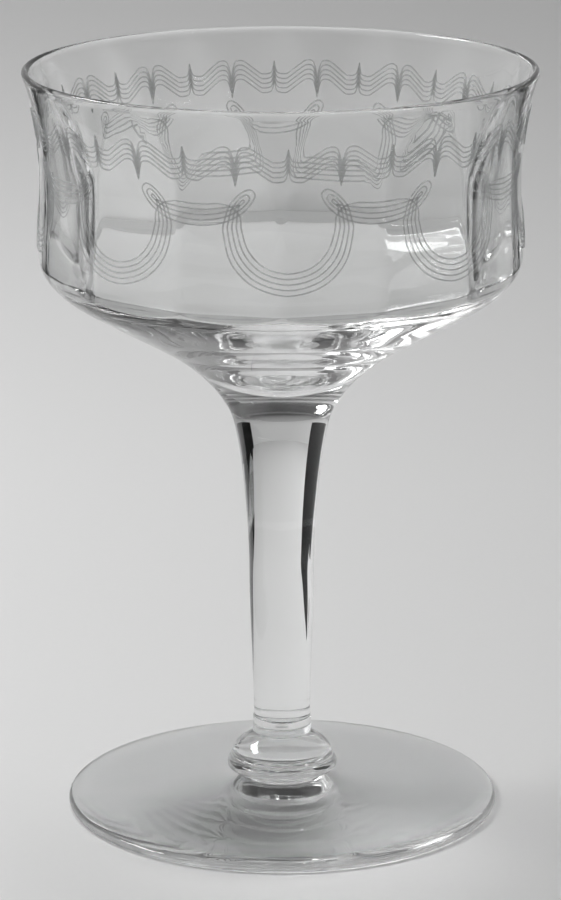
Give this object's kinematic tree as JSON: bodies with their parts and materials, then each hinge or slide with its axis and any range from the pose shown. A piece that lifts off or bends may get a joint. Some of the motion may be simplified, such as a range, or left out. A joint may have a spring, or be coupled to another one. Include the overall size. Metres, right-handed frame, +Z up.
{
  "type": "sherbet glass",
  "caption": "Clear stemmed sherbet glass with a shallow optic-panelled bowl, drawn stem, neck ring, knop, collar and wide round foot, for chilled desserts and drinks.",
  "frame": {"origin": "on the glass's axis, at the surface that the foot stands on", "axes": "+Z up along the axis of the bowl, stem and foot; X and Y level, with -Y towards the viewer of the picture"},
  "size_m": [0.085, 0.085, 0.127],
  "materials": {
    "clear_glass": "fire-polished clear crystal",
    "etched_line": "fine frosted needle etching"
  },
  "bodies": {
    "root": {"foot": "clear_glass", "collar": "clear_glass", "knop": "clear_glass", "neck_ring": "clear_glass", "stem": "clear_glass", "bowl": "clear_glass"}
  },
  "joints": []
}
